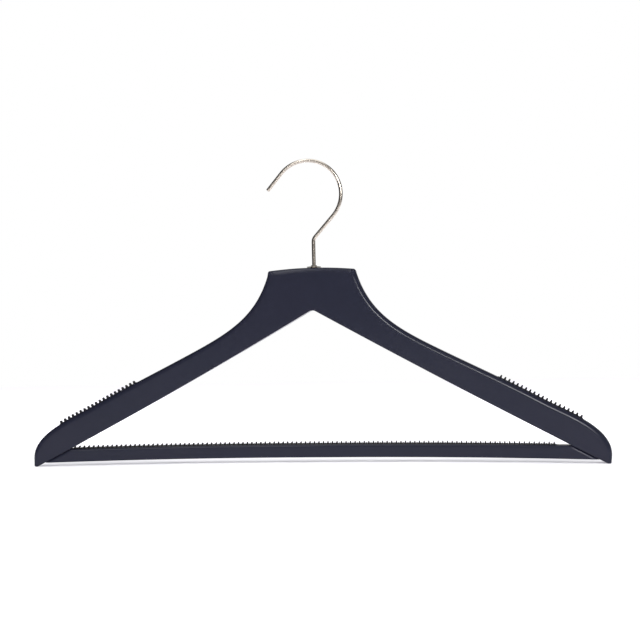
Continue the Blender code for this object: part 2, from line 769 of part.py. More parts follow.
def make_end_fixings(side, label, pieces, cutters, parent):
    """Dowel and screw of one end of the bar, and the cutters of their holes."""
    dowel_place = swept(side * (HALF_SPAN - DOWEL_FROM_TIP), 0)
    dowel = turned(label + "_bar_dowel", dowel_profile(0), SMALL_STEPS, pieces, parent,
                   bare_wood(label + "_bar_dowel"))
    dowel.location = (*dowel_place, 0)
    dowel_hole = turned(label + "_dowel_hole", dowel_profile(CLEARANCE), SMALL_STEPS, cutters, parent)
    hide_cutter(dowel_hole).location = (*dowel_place, 0)
    screw_place = swept(side * (HALF_SPAN - SCREW_FROM_TIP), 0)
    screw = turned(label + "_bar_screw", screw_profile(), SMALL_STEPS, pieces, parent,
                   steel(label + "_bar_screw"))
    screw.location = (*screw_place, 0)
    cut(screw, make_drive_cutter(label + "_screw_drive", screw_place, cutters, parent))
    screw_hole = turned(label + "_screw_hole", screw_hole_profile(), SMALL_STEPS, cutters, parent)
    hide_cutter(screw_hole).location = (*screw_place, 0)
    return [dowel_hole, screw_hole]


def main():
    clear_scene()
    pieces = make_collection("wooden_hanger")
    cutters = make_collection("cutters")
    swivel = make_empty("swivel_axis", (HOOK_LEAN, 0, -RAIL_HEIGHT), pieces)
    neck = make_empty("neck_middle", (HOOK_LEAN - SWIVEL_ASIDE, 0, -RAIL_HEIGHT), pieces)

    shoulder_strip, shoulder_groove = shoulder_strip_shapes()
    bar_strip, bar_groove = bar_strip_shapes()
    bore = make_bore_cutter(cutters, swivel)
    right_half = make_comb_cutter("right_half", 1, 0, cutters, neck)
    left_half = make_comb_cutter("left_half", -1, GLUE_LINE, cutters, neck)
    left_groove = make_groove_cutter("left_groove", mirrored(shoulder_groove), cutters, neck)
    right_groove = make_groove_cutter("right_groove", shoulder_groove, cutters, neck)
    bar_groove = make_groove_cutter("bar_groove", bar_groove, cutters, neck)
    left_holes = make_end_fixings(-1, "left", pieces, cutters, neck)
    right_holes = make_end_fixings(1, "right", pieces, cutters, neck)

    make_arm("left_arm", [right_half, bore, left_groove] + left_holes, pieces, neck)
    make_arm("right_arm", [left_half, bore, right_groove] + right_holes, pieces, neck)
    make_bar([bar_groove] + left_holes + right_holes, pieces, neck)
    make_strip("left_shoulder_strip", mirrored(shoulder_strip), pieces, neck)
    make_strip("right_shoulder_strip", shoulder_strip, pieces, neck)
    make_strip("bar_grip_strip", bar_strip, pieces, neck)
    make_hook(pieces, cutters, swivel)
    make_washers(pieces, swivel)
    make_bushing(pieces, swivel)


main()
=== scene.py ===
"""Looks of the wooden suit hanger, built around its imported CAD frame.

Metres, +Z up, +X along the span, the front towards -Y. The origin is the point of the hook that rests on
the rail. The hook is drawn from the swivel's axis at the top of the neck, and the wood and rubber from the
middle of the neck's top. Finished meshes are moved to the row frame.
"""

from math import atan, cos, hypot, inf, pi, radians, sin, sqrt, tan

import bmesh
import bpy
from mathutils import Matrix, Vector
from mathutils.geometry import interpolate_bezier

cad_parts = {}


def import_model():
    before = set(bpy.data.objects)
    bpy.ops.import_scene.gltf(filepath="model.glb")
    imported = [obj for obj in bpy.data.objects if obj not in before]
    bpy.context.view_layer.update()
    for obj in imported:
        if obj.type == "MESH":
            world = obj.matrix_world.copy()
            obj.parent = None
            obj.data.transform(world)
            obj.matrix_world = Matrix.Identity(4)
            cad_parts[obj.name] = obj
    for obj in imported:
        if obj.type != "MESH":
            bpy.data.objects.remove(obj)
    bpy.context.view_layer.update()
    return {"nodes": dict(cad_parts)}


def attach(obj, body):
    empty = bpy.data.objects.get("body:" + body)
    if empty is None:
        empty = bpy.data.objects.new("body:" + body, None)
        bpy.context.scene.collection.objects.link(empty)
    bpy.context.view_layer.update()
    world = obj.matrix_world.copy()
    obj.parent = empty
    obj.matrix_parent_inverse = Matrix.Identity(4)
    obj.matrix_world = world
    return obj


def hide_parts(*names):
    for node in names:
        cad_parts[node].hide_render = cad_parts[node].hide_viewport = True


MM = 0.001

# Sizes. A few edges, teeth and glue lines follow the photograph more closely than the solids do.
HALF_SPAN = 222.5 * MM
BOARD = 12 * MM
NECK_HEIGHT = 33.3 * MM
NECK_HALF_WIDTH = 34.6 * MM
NECK_ARCH = 1.9 * MM
NECK_CORNER_RADIUS = 2 * MM
NECK_SIDE_ANGLE = radians(-74)
SHOULDER_X = 100 * MM
SHOULDER_DROP = 67 * MM
SHOULDER_ANGLE = radians(-27.3)
TIP_DROP = 153.1 * MM
SLEEVE_FROM_TIP = 47.5 * MM
SLEEVE_ABOVE_TIP = 47.3 * MM
SLEEVE_ANGLE = radians(-29.2)
TIP_SIDE_HEIGHT = 6.7 * MM
FOOT_INSET = 0.8 * MM
FOOT_WIDTH = 2 * MM
FOOT_CORNER_RADIUS = 1.5 * MM
UNDERSIDE_BOW = 1.5 * MM
NOTCH_RADIUS = 5 * MM
NECK_SIDE_SHARES = (0.39, 0.41)
SLEEVE_SHARES = (0.33, 0.33)
TIP_SHARES = (0.31, 0.33)
UPPER_EDGE_RADIUS = 4 * MM
LOWER_EDGE_RADIUS = 0.8 * MM
NECK_ROUNDING_HEIGHT = 6 * MM
NECK_ROUNDING_DEPTH = 2.2 * MM
CORNER_ROUNDING_SHARE = 0.85
EDGE_SEGMENTS = 12
LEAST_EDGE_ANGLE = radians(40)
PLAN_DEPTH = 21 * MM
NECK_FLAT = 20 * MM
BAR_HEIGHT = 10.2 * MM
BAR_DEPTH = 11 * MM
BAR_EDGE_RADIUS = 2.2 * MM
BAR_LOWER_EDGE_RADIUS = 0.9 * MM
BAR_ABOVE_TIPS = 2.8 * MM
BAR_EDGE_SEGMENTS = 6
BAR_LOWER_EDGE_SEGMENTS = 4
GLUE_LINE = 0.05 * MM
STRIP_WIDTH = 4 * MM
STRIP_PROUD = 0.3 * MM
STRIP_EDGE_RADIUS = 0.25 * MM
STRIP_EDGE_SEGMENTS = 2
LEAST_STRIP_EDGE_ANGLE = radians(80)
GROOVE_DEPTH = 2.2 * MM
GROOVE_GAP = 0.12 * MM
SHOULDER_STRIP_FROM_TIP = 80.2 * MM
SHOULDER_STRIP_LENGTH = 68.9 * MM
SHOULDER_TEETH = 20
SHOULDER_END_MARGIN = 1.2 * MM
SHOULDER_TOOTH = (1.7 * MM, 1.1 * MM, 2.3 * MM)
BAR_STRIP_LEFT_INSET = 1.5 * MM
BAR_STRIP_RIGHT_INSET = 11.1 * MM
BAR_TEETH = 105
BAR_END_MARGIN = 0.9 * MM
BAR_TOOTH = (1.3 * MM, 0.8 * MM, 2 * MM)
BAR_BUMP = (1.2 * MM, 0.5 * MM)
WIRE = 3 * MM
HOOK_RADIUS = 27 * MM
HOOK_THROAT = 8.9 * MM
HOOK_LEAN = 4.2 * MM
SWIVEL_ASIDE = 1.6 * MM
HOOK_TIP_ANGLE = radians(140)
HOOK_TIP_LENGTH = 17.5 * MM
STEM_BEND_HEIGHT = 23.1 * MM
STEM_BEND_RADIUS = 6 * MM
HEAD_RADIUS = 2.7 * MM
HEAD_HEIGHT = 2 * MM
WIRE_CHAMFER = 0.3 * MM
CLEARANCE = 0.3 * MM
RUNNING_GAP = 0.4 * MM
SLEEVE_LENGTH = 18.5 * MM
SLEEVE_WALL = 1.4 * MM
BORE_SPARE = 2 * MM
THRUST_THICKNESS = 0.6 * MM
DOWEL_FROM_TIP = 23.7 * MM
DOWEL_RADIUS = 2 * MM
DOWEL_LENGTH = 14 * MM
DOWEL_FLOOR = 2.4 * MM
SCREW_FROM_TIP = 16.2 * MM
SCREW_HEAD_RADIUS = 3 * MM
SCREW_HEAD_HEIGHT = 2.2 * MM
SCREW_RADIUS = 1.5 * MM
SCREW_LENGTH = 16 * MM
SCREW_RECESS = 0.2 * MM
OVERRUN = 2 * MM
WELD = 0.001 * MM
FLAT_ANGLE = radians(0.05)
BEND_STEP = 4 * MM
CUTTER_SHIFT_SHARE = 0.5
STRIP_STEP = 3 * MM
WIRE_SIDES = 32
LATHE_STEPS = 32
SMOOTH_ANGLE = radians(35)
STRIP_SMOOTH_ANGLE = radians(40)
WIRE_SMOOTH_ANGLE = radians(30)

HEEL_X = HALF_SPAN - FOOT_INSET - FOOT_WIDTH
HEEL_DROP = TIP_DROP - NECK_HEIGHT
BAR_BOTTOM = BAR_ABOVE_TIPS - TIP_DROP
BAR_TOP = BAR_BOTTOM + BAR_HEIGHT
HOOK_CENTRE_HEIGHT = STEM_BEND_HEIGHT + HOOK_THROAT + HOOK_RADIUS
RAIL_HEIGHT = HOOK_CENTRE_HEIGHT + HOOK_RADIUS - WIRE / 2
STEM_HOLE = WIRE / 2 + RUNNING_GAP
BORE_RADIUS = STEM_HOLE + SLEEVE_WALL + CLEARANCE
HEAD_TOP = -SLEEVE_LENGTH - THRUST_THICKNESS - 3 * CLEARANCE
HEAD_BOTTOM = HEAD_TOP - HEAD_HEIGHT
BORE_DEPTH = BORE_SPARE - HEAD_BOTTOM
SWIVEL = Vector((HOOK_LEAN, 0, -RAIL_HEIGHT))
NECK_MIDDLE = SWIVEL - Vector((SWIVEL_ASIDE, 0, 0))

# Camera, found from the photograph's outlines. Lengths are from the notch's point on the front face.
IMAGE_SIZE = 640
FOCAL_PIXELS = 822
SENSOR_MM = 36
NEAREST_SEEN = 10 * MM
CAMERA_DISTANCE = 650 * MM
CAMERA_YAW = radians(5.863)
CAMERA_ROLL = radians(1.289)
CAMERA_PITCH = radians(-0.5)
CAMERA_ASIDE = 6.209 * MM
CAMERA_BELOW = 8.272 * MM

# Stage. The world's marks are components of a ray's direction, and its levels are strengths.
FRONT_INNER = 0.85
FRONT_OUTER = 0.45
LIGHT_INNER = 0.97
LIGHT_OUTER = 0.75
FRONT_DIFFUSE = 1.15
ROOM_DIFFUSE = 0.04
FRONT_GLOSSY = 0.22
ROOM_GLOSSY = 0.03
WALL_OUTER = 0.75
WALL_INNER = 0.9
RIGHT_START = 0.2
RIGHT_END = 0.7
RIGHT_GLOSSY = 0.25
CEILING_LOW = 0.4
CEILING_HIGH = 0.8
CEILING_INNER = 0.2
CEILING_OUTER = 0.5
CEILING_GLOSSY = 1.4
FLOOR_REACH = 4
FLOOR_DIP = radians(3)
FLOOR_COLOR = (0.435, 0.435, 0.445, 1)
FLOOR_GLOW_COLOR = (0.94, 0.92, 1, 1)
FLOOR_GLOW = 0.35
FLOOR_GLOW_START = 120 * MM
FLOOR_GLOW_END = 300 * MM
FLOOR_GLOW_STRETCH = (0.45, 1, 1)
FLOOR_BEHIND_START = 50 * MM
FLOOR_BEHIND_END = 250 * MM
FLOOR_NEAR = 100 * MM
FLOOR_FAR = 300 * MM

# Lamps: azimuth from the front to the right, elevation, distance, width and height, radiance
KEY_SOFTBOX = (radians(18), radians(21.5), 1.4, (0.3, 0.3), 28)
OVERHEAD_STRIP = (radians(-15), radians(42), 1.2, (0.16, 0.8), 3.9)
FLOOR_LIGHT = (0, radians(88), 1.2, (2.4, 2.4), 2.9)
LAMP_TARGET = (0, 0, -0.15)

# Colours, linear. The tones are the two that a material's clouding runs between.
PAINT_COLOR = (0.0208, 0.0225, 0.0402)
PAINT_TONES = ((0.0198, 0.0218, 0.0395), (0.0221, 0.023, 0.041))
PAINT_GRAIN = (0.0186, 0.0201, 0.0366)
RUBBER_COLOR = (0.010, 0.010, 0.012)
RUBBER_TONES = ((0.009, 0.009, 0.011), (0.016, 0.016, 0.019))
NICKEL_TONES = ((0.62, 0.56, 0.49), (0.57, 0.51, 0.45))
STEEL_TONES = ((0.56, 0.57, 0.60), (0.46, 0.47, 0.50))
WOOD_COLOR = (0.55, 0.38, 0.22)
WOOD_TONES = ((0.60, 0.43, 0.26), (0.45, 0.30, 0.16))
NICKEL_ROUGHNESS = 0.17
STEEL_ROUGHNESS = 0.32


def heading(angle):
    return Vector((cos(angle), sin(angle)))


# Outlines in the front view, as points (x, z)

def curve_points(start, start_angle, end, end_angle, shares, count):
    """Points after start on a Bezier whose handles are shares of the distance between its ends."""
    start, end = Vector(start), Vector(end)
    span = (end - start).length
    start_handle = start + heading(start_angle) * span * shares[0]
    end_handle = end - heading(end_angle) * span * shares[1]
    return [tuple(p) for p in interpolate_bezier(start, start_handle, end_handle, end, count + 1)][1:]


def rounded_corner(corner, angle_in, angle_out, radius, steps):
    """Arc in place of a corner that turns to the right, from one tangent point to the other."""
    turn = angle_out - angle_in
    start = Vector(corner) - heading(angle_in) * radius * tan(abs(turn) / 2)
    centre = start + heading(angle_in - pi / 2) * radius
    angles = [angle_in + turn * i / steps for i in range(steps + 1)]
    return [tuple(centre - heading(a - pi / 2) * radius) for a in angles]


def neck_top(x):
    return -NECK_ARCH * (x / NECK_HALF_WIDTH) ** 2


def underside(x):
    share = abs(x) / HEEL_X
    return -NECK_HEIGHT - HEEL_DROP * share - 4 * UNDERSIDE_BOW * share * (1 - share)


def underside_reach(z):
    """Distance from the middle at which the underside has come down to z."""
    fall = -NECK_HEIGHT - z
    half = (HEEL_DROP + 4 * UNDERSIDE_BOW) / 2
    return HEEL_X * fall / (half + sqrt(half ** 2 - 4 * UNDERSIDE_BOW * fall))


def shoulder_line(sleeve_steps, tip_steps):
    """Top edge of the right arm from the shoulder to the side of the tip."""
    shoulder = (SHOULDER_X, -SHOULDER_DROP)
    sleeve = (HALF_SPAN - SLEEVE_FROM_TIP, SLEEVE_ABOVE_TIP - TIP_DROP)
    tip_side = (HALF_SPAN, TIP_SIDE_HEIGHT - TIP_DROP)
    line = [shoulder]
    line += curve_points(shoulder, SHOULDER_ANGLE, sleeve, SLEEVE_ANGLE, SLEEVE_SHARES, sleeve_steps)
    line += curve_points(sleeve, SLEEVE_ANGLE, tip_side, -pi / 2, TIP_SHARES, tip_steps)
    return line


def board_outline():
    """Outline of the two arms, clockwise from the top of the neck, each point with its edge's rounding.

    A rounding is how far it reaches in from the outline, and how deep from the face.
    """
    arch_angle = -atan(2 * NECK_ARCH / NECK_HALF_WIDTH)
    corner = rounded_corner((NECK_HALF_WIDTH, -NECK_ARCH), arch_angle, NECK_SIDE_ANGLE,
                            NECK_CORNER_RADIUS, 6)
    arch_steps = 14
    arch_end = corner[0][0]
    arch = [(arch_end * i / arch_steps, neck_top(arch_end * i / arch_steps)) for i in range(arch_steps)]
    side = curve_points(corner[-1], NECK_SIDE_ANGLE, (SHOULDER_X, -SHOULDER_DROP), SHOULDER_ANGLE,
                        NECK_SIDE_SHARES, 36)
    foot_x = HALF_SPAN - FOOT_INSET
    side_angle = -pi / 2 - atan(FOOT_INSET / TIP_SIDE_HEIGHT)
    foot = rounded_corner((foot_x, -TIP_DROP), side_angle, -pi, FOOT_CORNER_RADIUS, 5)
    slope_angle = atan((HEEL_DROP + 4 * UNDERSIDE_BOW) / HEEL_X)
    fillet_x = NOTCH_RADIUS * sin(slope_angle)
    fillet_centre = -NECK_HEIGHT - NOTCH_RADIUS / cos(slope_angle)
    steps = 14
    under = [HEEL_X + (fillet_x - HEEL_X) * i / steps for i in range(steps)]
    fillet_steps = 8
    angles = [slope_angle * (1 - i / fillet_steps) for i in range(fillet_steps + 1)]
    fillet = [(NOTCH_RADIUS * sin(a), fillet_centre + NOTCH_RADIUS * cos(a)) for a in angles]
    neck_rounding = (NECK_ROUNDING_HEIGHT, NECK_ROUNDING_DEPTH)
    corner_rounding = [NECK_CORNER_RADIUS * CORNER_ROUNDING_SHARE] * 2
    foot_rounding = [FOOT_CORNER_RADIUS * CORNER_ROUNDING_SHARE] * 2
    upper_rounding = [UPPER_EDGE_RADIUS] * 2
    lower_rounding = [LOWER_EDGE_RADIUS] * 2
    right = [(point, neck_rounding) for point in arch]
    right += [(point, corner_rounding) for point in corner]
    right += [(point, upper_rounding) for point in side[:-1] + shoulder_line(16, 40)]
    right += [(point, foot_rounding) for point in foot]
    right += [(point, lower_rounding) for point in [(x, underside(x)) for x in under] + fillet]
    left = [((-x, z), rounding) for (x, z), rounding in reversed(right[1:-1])]
    return right + left


def inward_normals(outline):
    """Normal to the inside at each point of a clockwise outline, long enough to shift its edges by 1."""
    normals = []
    for i, point in enumerate(outline):
        before = (Vector(point) - Vector(outline[i - 1])).normalized()
        after = (Vector(outline[(i + 1) % len(outline)]) - Vector(point)).normalized()
        first, second = Vector((before.y, -before.x)), Vector((after.y, -after.x))
        normals.append((first + second) / (1 + first.dot(second)))
    return normals


def bar_outline():
    """Bar with its ends mitred along the arms' undersides, a glue line below them."""
    lift = GLUE_LINE / cos(atan(HEEL_DROP / HEEL_X))
    top_x = underside_reach(BAR_TOP + lift)
    bottom_x = underside_reach(BAR_BOTTOM + lift)
    return [(-top_x, BAR_TOP), (top_x, BAR_TOP), (bottom_x, BAR_BOTTOM), (-bottom_x, BAR_BOTTOM)]


# Sweep of the board

def sweep(x):
    """How far the front face has come forward at x, and its slope there."""
    run = HALF_SPAN - NECK_FLAT
    reach = max(abs(x) - NECK_FLAT, 0) / run
    slope = 2 * PLAN_DEPTH * reach / run
    return -PLAN_DEPTH * reach ** 2, -slope if x > 0 else slope


def swept(x, y):
    """Place of a point of the straight board, with the depth kept square to the swept front face."""
    forward, slope = sweep(x)
    depth = y + BOARD / 2
    length = hypot(1, slope)
    return x - depth * slope / length, forward + depth / length - BOARD / 2


# Meshes

def prism(outline, thickness):
    """Outline in X and Y, extruded half the thickness to each side along Z, with whole flat faces."""
    curve = bpy.data.curves.new("outline", "CURVE")
    curve.dimensions = "2D"
    curve.fill_mode = "BOTH"
    curve.extrude = thickness / 2
    spline = curve.splines.new("POLY")
    spline.points.add(len(outline) - 1)
    for point, (x, y) in zip(spline.points, outline):
        point.co = (x, y, 0, 1)
    spline.use_cyclic_u = True
    carrier = bpy.data.objects.new("outline", curve)
    bpy.context.scene.collection.objects.link(carrier)
    depsgraph = bpy.context.evaluated_depsgraph_get()
    mesh = bpy.data.meshes.new_from_object(carrier.evaluated_get(depsgraph))
    shape = bmesh.new()
    shape.from_mesh(mesh)
    bmesh.ops.remove_doubles(shape, verts=shape.verts, dist=WELD)
    bmesh.ops.dissolve_limit(shape, angle_limit=FLAT_ANGLE, verts=shape.verts, edges=shape.edges)
    bpy.data.meshes.remove(mesh)
    bpy.data.objects.remove(carrier)
    bpy.data.curves.remove(curve)
    return shape


def slab(outline, thickness):
    """Front-view outline, extruded half the thickness to each side along Y."""
    shape = prism(outline, thickness)
    bmesh.ops.transform(shape, matrix=Matrix.Rotation(pi / 2, 4, "X"), verts=shape.verts)
    return shape


def rounded_slab(outline, thickness):
    """Slab of a front-view outline whose points carry the rounding of their edges, front and back."""
    shape = bmesh.new()
    normals = inward_normals([point for point, rounding in outline])
    turns = [pi / 2 * i / EDGE_SEGMENTS for i in range(EDGE_SEGMENTS + 1)]
    rings = []
    for side, side_turns in ((-1, turns[::-1]), (1, turns)):
        for turn in side_turns:
            ring = []
            for ((x, z), (reach, depth)), normal in zip(outline, normals):
                shift = normal * reach * (1 - cos(turn))
                y = side * (thickness / 2 - depth * (1 - sin(turn)))
                ring.append(shape.verts.new((x + shift.x, y, z + shift.y)))
            rings.append(ring)
    for front, back in zip(rings, rings[1:]):
        for i in range(len(outline)):
            shape.faces.new((front[i - 1], front[i], back[i], back[i - 1]))
    shape.faces.new(rings[0])
    shape.faces.new(rings[-1])
    return shape


def round_edges(shape, radius, least_angle, segments, lowest=-inf, highest=inf):
    """Round the edges that turn by more than the angle and whose upper end lies between two heights."""
    shape.normal_update()
    edges = [e for e in shape.edges if len(e.link_faces) == 2 and e.calc_face_angle() > least_angle
             and lowest < max(v.co.z for v in e.verts) < highest]
    bmesh.ops.bevel(shape, geom=edges, offset=radius, segments=segments, profile=0.5, affect="EDGES",
                    clamp_overlap=False)


def bend(shape, shift_share=0.0):
    """Cut a straight slab at even stations and lay it along the sweep of the board."""
    count = round((HALF_SPAN - NECK_FLAT) / BEND_STEP)
    right = [NECK_FLAT + (HALF_SPAN - NECK_FLAT) * (i + shift_share) / count for i in range(count)]
    for x in [-x for x in reversed(right)] + right:
        parts = shape.verts[:] + shape.edges[:] + shape.faces[:]
        bmesh.ops.bisect_plane(shape, geom=parts, dist=WELD, plane_co=(x, 0, 0), plane_no=(1, 0, 0))
    for vert in shape.verts:
        vert.co.x, vert.co.y = swept(vert.co.x, vert.co.y)


def finish_mesh(name, shape, origin=NECK_MIDDLE, smooth_angle=SMOOTH_ANGLE):
    """Mesh of a shape drawn from an origin, moved to the row frame."""
    bmesh.ops.recalc_face_normals(shape, faces=shape.faces)
    bmesh.ops.translate(shape, verts=shape.verts, vec=origin)
    mesh = bpy.data.meshes.new(name)
    shape.to_mesh(mesh)
    shape.free()
    mesh.shade_smooth()
    mesh.set_sharp_from_angle(angle=smooth_angle)
    return mesh


def place(name, mesh, material=None):
    thing = bpy.data.objects.new(name, mesh)
    bpy.context.scene.collection.objects.link(thing)
    if material:
        mesh.materials.append(material)
    return thing


def cut(target, cutters):
    """Cut the pieces away and keep the result as the target's own mesh."""
    for cutter in cutters:
        boolean = target.modifiers.new("Cut", "BOOLEAN")
        boolean.operation = "DIFFERENCE"
        boolean.solver = "EXACT"
        boolean.object = cutter
    keep_modifiers(target)


def keep_modifiers(target):
    depsgraph = bpy.context.evaluated_depsgraph_get()
    mesh = bpy.data.meshes.new_from_object(target.evaluated_get(depsgraph))
    old = target.data
    target.modifiers.clear()
    target.data = mesh
    mesh.name = target.name
    bpy.data.meshes.remove(old)


def weigh_normals(target):
    """Let the broad faces set the shading, so that only the rounded edges turn."""
    modifier = target.modifiers.new("Weigh", "WEIGHTED_NORMAL")
    modifier.keep_sharp = True
    modifier.weight = 50


def turned(profile, steps):
    """Turned shape about Z from a closed profile of (radius, z)."""
    shape = bmesh.new()
    verts = [shape.verts.new((r, 0, z)) for r, z in profile]
    edges = [shape.edges.new((verts[i], verts[(i + 1) % len(verts)])) for i in range(len(verts))]
    bmesh.ops.spin(shape, geom=verts + edges, axis=(0, 0, 1), cent=(0, 0, 0), angle=2 * pi, steps=steps)
    bmesh.ops.remove_doubles(shape, verts=shape.verts, dist=WELD)
    bmesh.ops.dissolve_degenerate(shape, edges=shape.edges, dist=WELD)
    return shape


# Toothed strips

class Edge:
    """Line in the front view that a strip follows, read by the distance along it."""

    def __init__(self, points):
        self.points = [Vector(p) for p in points]
        self.distances = [0.0]
        for a, b in zip(self.points, self.points[1:]):
            self.distances.append(self.distances[-1] + (b - a).length)

    def at(self, distance, lift):
        """Point at a distance along the line, lifted square to it."""
        last = len(self.points) - 2
        i = 0
        while i < last and self.distances[i + 1] < distance:
            i += 1
        a, b = self.points[i], self.points[i + 1]
        along = (b - a).normalized()
        return tuple(a + along * (distance - self.distances[i]) + Vector((-along.y, along.x)) * lift)

    def distance_at_x(self, x):
        for a, b, start in zip(self.points, self.points[1:], self.distances):
            if a.x <= x <= b.x:
                return start + (b - a).length * (x - a.x) / (b.x - a.x)
        return self.distances[-1]


def tooth_profile(root, tip, height):
    """Tooth with a fillet at each foot and a rounded top, as (offset, lift)."""
    base = STRIP_PROUD
    rise = height - base
    flank = [(1.16, 0), (1.03, 0.05), (0.96, 0.16)]
    right = [(root / 2 * s, base + rise * t) for s, t in flank]
    radius = tip / 2
    centre = height - radius
    angles = [pi / 2 * i / 4 for i in range(5)]
    right += [(radius * cos(a), centre + radius * sin(a)) for a in angles]
    return [(-x, z) for x, z in right[:-1]] + right[::-1]


def strip_outline(edge, start, length, teeth, margin, tooth, bump=None):
    """Strip with an even row of teeth. A tooth is (root, tip, height) and a bump is (width, height)."""
    root = tooth[0]
    first = start + margin + root / 2
    pitch = (length - 2 * margin - root) / (teeth - 1)
    profile = tooth_profile(*tooth)
    top = [edge.at(start, 0), edge.at(start + STRIP_PROUD, STRIP_PROUD)]
    for i in range(teeth):
        top += [edge.at(first + pitch * i + x, z) for x, z in profile]
        if bump and i < teeth - 1:
            middle = first + pitch * (i + 0.5)
            shape = [(-0.5, 0), (-0.3, 0.75), (0, 1), (0.3, 0.75), (0.5, 0)]
            top += [edge.at(middle + bump[0] * s, STRIP_PROUD + bump[1] * t) for s, t in shape]
    top += [edge.at(start + length - STRIP_PROUD, STRIP_PROUD), edge.at(start + length, 0)]
    count = round(length / STRIP_STEP)
    bottom = [edge.at(start + length * i / count, GROOVE_GAP - GROOVE_DEPTH) for i in range(count + 1)]
    return top + bottom[::-1]


def groove_outline(edge, start, length):
    count = round(length / STRIP_STEP)
    begin = start - GROOVE_GAP
    run = length + 2 * GROOVE_GAP
    top = [edge.at(begin + run * i / count, OVERRUN) for i in range(count + 1)]
    bottom = [edge.at(begin + run * i / count, -GROOVE_DEPTH) for i in range(count + 1)]
    return top + bottom[::-1]


def mirrored(outline):
    return [(-x, z) for x, z in reversed(outline)]


def make_strip(name, outline, material):
    shape = slab(outline, STRIP_WIDTH)
    round_edges(shape, STRIP_EDGE_RADIUS, LEAST_STRIP_EDGE_ANGLE, STRIP_EDGE_SEGMENTS)
    bend(shape)
    strip = place(name, finish_mesh(name, shape, smooth_angle=STRIP_SMOOTH_ANGLE), material)
    weigh_normals(strip)
    return strip


# Hook

def hook_path():
    """Centre line of the wire as (x, z), from inside the neck to the bare tip."""
    centre = Vector((-HOOK_LEAN, HOOK_CENTRE_HEIGHT))
    corner = Vector((0, STEM_BEND_HEIGHT))
    away = centre - corner
    tangent_length = sqrt(away.length_squared - HOOK_RADIUS ** 2)
    rise = away.angle_signed(Vector((1, 0))) - atan(HOOK_RADIUS / tangent_length)
    touch = corner + heading(rise) * tangent_length
    points = [Vector((0, HEAD_TOP - HEAD_HEIGHT / 2))]
    turn = pi / 2 - rise
    setback = STEM_BEND_RADIUS * tan(turn / 2)
    bend_centre = Vector((STEM_BEND_RADIUS, STEM_BEND_HEIGHT - setback))
    steps = 12
    points += [bend_centre + heading(pi - turn * i / steps) * STEM_BEND_RADIUS for i in range(steps + 1)]
    start = -Vector((1, 0)).angle_signed(touch - centre)
    steps = 90
    angles = [start + (HOOK_TIP_ANGLE - start) * i / steps for i in range(steps + 1)]
    points += [centre + heading(a) * HOOK_RADIUS for a in angles]
    points.append(points[-1] + heading(HOOK_TIP_ANGLE + pi / 2) * HOOK_TIP_LENGTH)
    return points


def make_hook(material):
    """Wire swept along its path, upset to a head at its foot and chamfered where it is cut off."""
    path = hook_path()
    directions = [(b - a).normalized() for a, b in zip(path, path[1:])]
    joints = [(a + b).normalized() for a, b in zip(directions, directions[1:])]
    up = Vector((0, 1))
    last = directions[-1]
    rings = [(Vector((0, z)), up, radius) for z, radius in
             ((HEAD_BOTTOM, HEAD_RADIUS - WIRE_CHAMFER), (HEAD_BOTTOM + WIRE_CHAMFER, HEAD_RADIUS),
              (HEAD_TOP, HEAD_RADIUS), (HEAD_TOP, WIRE / 2))]
    rings += [(p, along, WIRE / 2) for p, along in zip(path[1:-1], joints)]
    rings += [(path[-1] - last * WIRE_CHAMFER, last, WIRE / 2), (path[-1], last, WIRE / 2 - WIRE_CHAMFER)]
    shape = bmesh.new()
    loops = []
    for point, along, radius in rings:
        across = Vector((-along.y, along.x))
        loop = []
        for k in range(WIRE_SIDES):
            a = 2 * pi * k / WIRE_SIDES
            offset = across * radius * cos(a)
            loop.append(shape.verts.new((point.x + offset.x, radius * sin(a), point.y + offset.y)))
        loops.append(loop)
    for lower, upper in zip(loops, loops[1:]):
        for k in range(WIRE_SIDES):
            shape.faces.new((lower[k - 1], lower[k], upper[k], upper[k - 1]))
    shape.faces.new(loops[0])
    shape.faces.new(loops[-1])
    return place("hook_wire", finish_mesh("hook_wire", shape, SWIVEL, WIRE_SMOOTH_ANGLE), material)


# Materials

